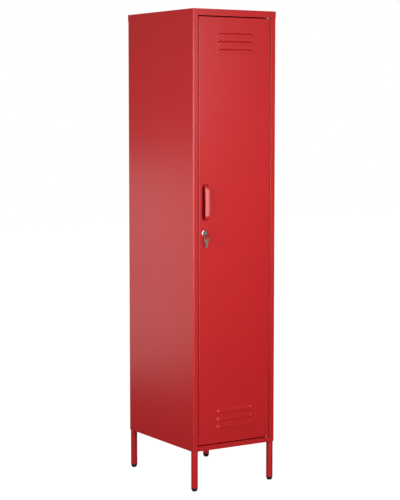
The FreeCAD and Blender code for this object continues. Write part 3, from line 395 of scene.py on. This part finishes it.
def hood_shell(shape):
    """A scoop pressed in one bend: full height along its free edge, with round ends like a spoon's."""
    width, height = hood_high.x - hood_low.x, hood_high.z - hood_low.z
    reach = FACE - hood_low.y
    across, up = 30, 80
    top_end, low_end, flank, narrowest, lip = 0.22, 0.16, 0.4, 0.12, 0.72
    blunt, swell = 2.2, 0.75
    rows = []
    for j in range(up + 1):
        v = 0.5 - 0.5 * math.cos(math.pi * j / up)
        into = max(1 - v / low_end, 1 - (1 - v) / top_end, 0.0)
        proud = (reach + HOOD_EDGE * MM) * (1 - into ** blunt) ** swell
        wide = width * max(math.sqrt(1 - into ** 2), narrowest)
        row = []
        for k in range(across + 1):
            u = k / across
            fall = smooth((1 - u) / flank) * (lip + (1 - lip) * smooth(u / (1 - flank)))
            row.append(shape.verts.new((hood_low.x + u * wide, FACE + HOOD_EDGE * MM - proud * fall,
                                        hood_low.z + v * height)))
        rows.append(row)
    grid_faces(shape, rows)


hood = mesh_from("hood", hood_shell)
if sum(face.normal.y * face.area for face in hood.polygons) > 0:
    hood.flip_normals()
hood = modified(hood, ("SOLIDIFY", {"thickness": HOOD_WALL * MM, "offset": -1.0}))
finish_mesh(hood, "handle_hood_pressed", "door", "red_powder_coat", ("handle_hood",), 50.0)

# ---- lock -------------------------------------------------------------------------------------
rose_low, rose_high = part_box("lock_housing")
rose_axis = Vector(((rose_low.x + rose_high.x) / 2, rose_low.y, (rose_low.z + rose_high.z) / 2))
rose_length = (rose_high.y - rose_low.y) / MM
rose_radius = (rose_high.x - rose_low.x) / 2 / MM
BORE, BARREL, ROSE = 6.05, 9.0, 3.0
rose_profile = [
    (BORE, rose_length), (BORE, 0.7), (BORE + 0.5, 0.2), (BORE + 1.0, 0.0), (BORE + 1.8, 0.0),
    (BORE + 2.1, 0.5), (BORE + 2.6, 0.5), (BORE + 2.9, 0.0), (rose_radius - 1.2, 0.15),
    (rose_radius - 0.5, 0.55), (rose_radius, 1.5), (rose_radius, ROSE), (BARREL, ROSE),
    (BARREL, rose_length),
]
rose = mesh_from("rose", lambda shape: lathe(shape, rose_axis, rose_profile, segments=96))
finish_mesh(rose, "lock_rose", "door", "chromed_zinc", ("lock_housing",), 50.0)

# ---- keys and ring ----------------------------------------------------------------------------
JOINTS = {joint["name"]: joint for joint in frame["record"]["behaviour"]["joints"]}
KEY_THICKNESS, KEY_HALF_BLADE, KEY_BEVEL = 2.0, 3.7, 0.3
BITTING = (1.1, 0.5, 1.6, 0.8, 1.3, 0.3)  # how deep each cut goes into the blade
TIP_SLOPE, TIP_BACK, TIP_RISE = 2.5, 1.2, 1.6
CUTS_SHORT, CUTS_TIP, CUT_HALF_FLAT = 4.0, 3.0, 0.2
BOW_STEPS, HOLE_STEPS = 28, 24


def arc(centre, radius, first, last, steps):
    """Points round a centre on the key's own line, from the first angle to the last."""
    return [(centre + radius * math.cos(first + (last - first) * k / steps),
             radius * math.sin(first + (last - first) * k / steps)) for k in range(steps + 1)]


def key_outline(bow_radius, bow_centre, length, cuts_from):
    """A key in its own plane: along from the bow's end to the tip, and up."""
    neck = math.asin(KEY_HALF_BLADE / bow_radius)
    upper = arc(bow_centre, bow_radius, math.pi, neck, BOW_STEPS)
    lower = arc(bow_centre, bow_radius, -neck, -math.pi, BOW_STEPS)[:-1]
    blade = [(length - TIP_SLOPE, KEY_HALF_BLADE), (length, 0.0),
             (length - TIP_BACK, -KEY_HALF_BLADE + TIP_RISE)]
    pitch = (length - CUTS_SHORT - cuts_from) / len(BITTING)
    for number, depth in enumerate(reversed(BITTING)):
        place = length - CUTS_TIP - pitch * (number + 0.5)
        blade.append((place + pitch * CUT_HALF_FLAT, depth - KEY_HALF_BLADE))
        blade.append((place - pitch * CUT_HALF_FLAT, depth - KEY_HALF_BLADE))
    return upper + blade + lower


def key_mesh(name, outline, hole_at, hole_radius, to_world):
    """A stamped key blank with its hole, rounded along every edge."""
    shape = bmesh.new()
    edges = []
    for loop in (outline, arc(hole_at, hole_radius, 0.0, 2 * math.pi, HOLE_STEPS)[:-1]):
        corners = [shape.verts.new((-KEY_THICKNESS / 2 * MM, along * MM, up * MM))
                   for along, up in loop]
        edges += [shape.edges.new((a, b)) for a, b in zip(corners, corners[1:] + corners[:1])]
    bmesh.ops.triangle_fill(shape, edges=edges, use_beauty=True)
    grown = bmesh.ops.extrude_face_region(shape, geom=list(shape.faces))
    moved = [item for item in grown["geom"] if isinstance(item, bmesh.types.BMVert)]
    bmesh.ops.translate(shape, verts=moved, vec=(KEY_THICKNESS * MM, 0, 0))
    bmesh.ops.recalc_face_normals(shape, faces=shape.faces)
    mesh = bpy.data.meshes.new(name)
    shape.to_mesh(mesh)
    shape.free()
    mesh = modified(mesh, ("BEVEL", {"width": KEY_BEVEL * MM, "segments": 2, "limit_method": "ANGLE",
                                     "angle_limit": math.radians(40)}))
    mesh.transform(to_world)
    return mesh


key_low, key_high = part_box("door_key")
bow_radius = (key_high.z - key_low.z) / 2 / MM
key_length = (key_high.y - key_low.y) / MM
ring_top = Vector(JOINTS["ring_swing"]["pos_m"])
ring_low = Vector(JOINTS["hanging_key_swing"]["pos_m"])
HOLE_MARGIN, BOW_HOLE, BOW_FLAT = 5.5, 2.2, 2.2
LOCK_CUTS_FROM, SPARE_CUTS_FROM = 24.0, 21.0
in_lock = Matrix.Translation((ring_top.x, key_low.y, rose_axis.z))
outline = key_outline(bow_radius, bow_radius - BOW_FLAT, key_length, LOCK_CUTS_FROM)
outline = [(max(along, 0.0), up) for along, up in outline]
finish_mesh(key_mesh("key", outline, HOLE_MARGIN, BOW_HOLE, in_lock), "door_key_stamped", "key",
            "nickel_plated_steel", ("door_key",), 30.0)

SPARE_BOW, SPARE_LENGTH, SPARE_TURN, SPARE_HANG, SPARE_HOLE = 9.0, 40.0, 50.0, 1.9, 3.8
hanging = (Matrix.Translation(ring_low + Vector((0, 0, (HOLE_MARGIN - SPARE_HANG) * MM)))
           @ Matrix.Rotation(math.radians(SPARE_TURN), 4, "Z")
           @ Matrix.Rotation(math.radians(-90), 4, "X"))
spare = key_outline(SPARE_BOW, SPARE_BOW, SPARE_LENGTH, SPARE_CUTS_FROM)
finish_mesh(key_mesh("spare", spare, HOLE_MARGIN, SPARE_HOLE, hanging), "spare_key_stamped",
            "hanging_key", "nickel_plated_steel", ("spare_key",), 30.0)

RING_WIRE, RING_PITCH, RING_TURNS = 0.36, 0.36, 1.94
ring_centre = (Vector(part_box("key_ring")[0]) + Vector(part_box("key_ring")[1])) / 2
ring_radius = (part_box("key_ring")[1].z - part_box("key_ring")[0].z) / 2 / MM - RING_WIRE


def split_ring(shape):
    """Spring wire wound twice, whose turns lie side by side and cross over once."""
    steps, sides = 180, 10
    end_angle, crossing, crossing_length = math.radians(150), 0.44, 0.12
    rows = []
    for step in range(steps + 1):
        t = step / steps
        angle = end_angle + 2 * math.pi * RING_TURNS * t
        aside = RING_PITCH * (2 * smooth((t - crossing) / crossing_length) - 1)
        out = Vector((math.cos(angle), 0, math.sin(angle)))
        core = ring_centre + out * ring_radius * MM + Vector((0, aside * MM, 0))
        rows.append([shape.verts.new(core + (out * math.cos(turn) + Vector((0, math.sin(turn), 0)))
                                     * RING_WIRE * MM)
                     for turn in (2 * math.pi * k / sides for k in range(sides))])
    for low, high in zip(rows, rows[1:]):
        for k in range(sides):
            after = (k + 1) % sides
            shape.faces.new((low[k], low[after], high[after], high[k]))
    shape.faces.new(rows[0])
    shape.faces.new(rows[-1])


finish_mesh(mesh_from("ring", split_ring), "key_ring_wound", "ring", "nickel_plated_steel",
            ("key_ring",), 40.0)

# ---- back panel rivets ------------------------------------------------------------------------
rivets_low, rivets_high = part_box("back_panel_rivets")
RIVET_HEAD, RIVET_SHANK, RIVETS_PER_SIDE = 3.6, 2.0, 5
head_height, shank_end = 0.8, (rivets_high.y - rivets_low.y) / MM
rivet_profile = [
    (0.02, 0.55), (0.8, 0.5), (1.0, 0.0), (1.6, 0.02), (2.6, 0.18), (3.3, 0.45),
    (RIVET_HEAD, head_height), (RIVET_SHANK, head_height), (RIVET_SHANK, shank_end - 1.2),
    (RIVET_SHANK + 0.25, shank_end - 0.8), (RIVET_SHANK, shank_end - 0.2), (0.02, shank_end),
]
rivet = mesh_from("rivet", lambda shape: lathe(shape, Vector((0, 0, 0)), rivet_profile,
                                                segments=24))
rivet.transform(Matrix.Rotation(math.pi, 4, "Z"))
drop = (rivets_high.z - rivets_low.z - 2 * RIVET_HEAD * MM) / (RIVETS_PER_SIDE - 1)
rivet_lines = [(Vector((x, rivets_high.y, rivets_low.z + RIVET_HEAD * MM)), Vector((0, 0, drop)),
                RIVETS_PER_SIDE)
               for x in (rivets_low.x + RIVET_HEAD * MM, rivets_high.x - RIVET_HEAD * MM)]
finish_mesh(repeated(rivet, "rivets", MATERIALS["zinc_plated_steel"], rivet_lines), "back_rivets",
            "cabinet", "zinc_plated_steel", ("back_panel_rivets",), 40.0)

# ---- nuts on the leg studs --------------------------------------------------------------------
nuts_low, nuts_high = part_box("leg_nuts")
NUT_FLATS, THREAD, NUT_CHAMFER, MOUTH_CHAMFER = 13.0, 4.05, 0.9, 0.5


def hex_nut(shape):
    """A hexagon nut on its axis, with chamfered corners and a threaded bore."""
    height = nuts_high.z - nuts_low.z
    corner = NUT_FLATS / math.sqrt(3) * MM
    edge = NUT_CHAMFER * MM
    sides = 36
    radius_of = {"mouth": lambda flat: (THREAD + MOUTH_CHAMFER) * MM, "bore": lambda flat: THREAD * MM,
                 "chamfer": lambda flat: min(flat, corner - edge), "side": lambda flat: flat}
    rows = []
    for level, part in ((0.0, "mouth"), (0.0, "chamfer"), (edge, "side"), (height - edge, "side"),
                        (height, "chamfer"), (height, "mouth"), (height - edge, "bore"), (edge, "bore")):
        row = []
        for k in range(sides):
            turn = 2 * math.pi * k / sides
            off_flat = (turn + math.pi / 6) % (math.pi / 3) - math.pi / 6
            radius = radius_of[part](NUT_FLATS / 2 * MM / math.cos(off_flat))
            row.append(shape.verts.new((radius * math.cos(turn), radius * math.sin(turn), level)))
        rows.append(row)
    for low, high in zip(rows, rows[1:] + rows[:1]):
        for k in range(sides):
            after = (k + 1) % sides
            shape.faces.new((low[k], low[after], high[after], high[k]))


leg_axes = [(Vector(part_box("leg_" + corner)[0]) + Vector(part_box("leg_" + corner)[1])) / 2
            for corner in ("front_left", "front_right", "back_left", "back_right")]
nut_lines = [(Vector((axis.x, axis.y, nuts_low.z)), Vector((0, 0, 0)), 1) for axis in leg_axes]
finish_mesh(repeated(mesh_from("nut", hex_nut), "nuts", MATERIALS["zinc_plated_steel"], nut_lines),
            "leg_nuts_chamfered", "cabinet", "zinc_plated_steel", ("leg_nuts",), 30.0)

# ---- stage ------------------------------------------------------------------------------------
FLOOR_REACH, FLOOR_GREY, FLOOR_GLOW, FLOOR_GLOW_SHARE = 12.0, "#5c5c5c", 1.2, 0.85
HORIZON_LIGHT, OVERHEAD_LIGHT, DIM_HEIGHT = 0.21, 0.06, 0.8
WHITE = linear("#ffffff")


def studio_floor():
    """A floor that looks white and throws back as little light as a grey one."""
    mesh = bpy.data.meshes.new("floor")
    corners = [(-FLOOR_REACH, -FLOOR_REACH, 0), (FLOOR_REACH, -FLOOR_REACH, 0),
               (FLOOR_REACH, FLOOR_REACH, 0), (-FLOOR_REACH, FLOOR_REACH, 0)]
    mesh.from_pydata(corners, [], [(0, 1, 2, 3)])
    floor = bpy.data.objects.new("floor", mesh)
    bpy.context.collection.objects.link(floor)
    paint = bpy.data.materials.new("studio_floor")
    paint.use_nodes = True
    tree = paint.node_tree
    tree.nodes.clear()
    seen = add(tree, "ShaderNodeLightPath").outputs["Is Camera Ray"]
    share = add(tree, "ShaderNodeMath", {"operation": "MULTIPLY"}, _0=seen, _1=FLOOR_GLOW_SHARE)
    matt = add(tree, "ShaderNodeBsdfDiffuse", None, Color=linear(FLOOR_GREY))
    glow = add(tree, "ShaderNodeEmission", None, Color=WHITE, Strength=FLOOR_GLOW)
    mixed = add(tree, "ShaderNodeMixShader", None, _0=share.outputs[0], _1=matt.outputs[0],
                _2=glow.outputs[0])
    add(tree, "ShaderNodeOutputMaterial", None, Surface=mixed.outputs[0])
    mesh.materials.append(paint)


def studio_world():
    """White behind the locker and dim overhead, so that the coat's colour stays deep."""
    world = bpy.data.worlds.new("studio")
    bpy.context.scene.world = world
    world.use_nodes = True
    tree = world.node_tree
    tree.nodes.clear()
    direction = add(tree, "ShaderNodeTexCoord").outputs["Generated"]
    height = add(tree, "ShaderNodeSeparateXYZ", None, Vector=direction).outputs["Z"]
    dim = add(tree, "ShaderNodeMapRange", None, Value=height, _1=0.0, _2=DIM_HEIGHT, _3=HORIZON_LIGHT,
              _4=OVERHEAD_LIGHT)
    room = add(tree, "ShaderNodeBackground", None, Color=WHITE, Strength=dim.outputs[0])
    backdrop = add(tree, "ShaderNodeBackground", None, Color=WHITE, Strength=1.0)
    seen = add(tree, "ShaderNodeLightPath").outputs["Is Camera Ray"]
    mixed = add(tree, "ShaderNodeMixShader", None, _0=seen, _1=room.outputs[0],
                _2=backdrop.outputs[0])
    add(tree, "ShaderNodeOutputWorld", None, Surface=mixed.outputs[0])


studio_floor()
studio_world()

# Each softbox: its place, the point it faces, its width and height in metres, and its power in watts
SPREAD = 120
SOFTBOXES = {
    "front_left_box": ((-2.5, -1.1, 1.25), (0, 0.0, 1.2), 1.2, 1.3, 17),
    "front_right_box": ((0.5, -2.0, 1.74), (-0.1, 0.0, 1.5), 0.18, 0.7, 1.9),
    "left_box": ((-1.3, 1.9, 0.62), (-0.2, 0.0, 0.75), 0.9, 1.15, 1.6),
    "front_box": ((-0.3, -2.9, 1.15), (0, 0.0, 1.1), 1.9, 1.9, 30),
    "far_left_box": ((-2.6, 0.5, 1.15), (0, 0.0, 1.05), 1.0, 1.2, 8),
    "right_strip": ((2.2, -0.3, 1.1), (0, 0.0, 1.05), 0.25, 1.4, 5),
    "back_box": ((1.4, 2.9, 1.3), (0, 0.0, 1.0), 1.3, 1.3, 20),
    "overhead_box": ((0.1, 0.2, 3.7), (0, 0.0, 1.8), 0.9, 0.9, 7),
}


def softbox(name, place, aim, width, height, power):
    """A rectangular lamp with a honeycomb, which the camera doesn't see."""
    lamp = bpy.data.lights.new(name, "AREA")
    lamp.shape = "RECTANGLE"
    lamp.size, lamp.size_y, lamp.energy = width, height, power
    lamp.spread = math.radians(SPREAD)
    box = bpy.data.objects.new(name, lamp)
    bpy.context.collection.objects.link(box)
    box.location = place
    box.rotation_euler = (Vector(aim) - Vector(place)).to_track_quat("-Z", "Y").to_euler()
    box.visible_camera = False


for name, (place, aim, width, height, power) in SOFTBOXES.items():
    softbox(name, place, aim, width, height, power)

# ---- camera -----------------------------------------------------------------------------------
LENS_MM, SENSOR_MM, FAR_CLIP = 107.76, 36, 100
CAMERA_X, CAMERA_Y, CAMERA_HEIGHT = -3.183, -5.0616, 1.46784
CAMERA_DIP, CAMERA_TURN = 0.093, -0.561
cap_low, cap_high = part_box("top_cap")
cap_middle = (cap_low + cap_high) / 2
camera_data = bpy.data.cameras.new("camera")
camera = bpy.data.objects.new("camera", camera_data)
bpy.context.collection.objects.link(camera)
camera_data.lens = LENS_MM
camera_data.sensor_width = SENSOR_MM
camera_data.clip_end = FAR_CLIP
camera.location = cap_middle + Vector((CAMERA_X, CAMERA_Y, CAMERA_HEIGHT - cap_middle.z))
camera.rotation_euler = (math.pi / 2 - CAMERA_DIP, 0, CAMERA_TURN)
bpy.context.scene.camera = camera
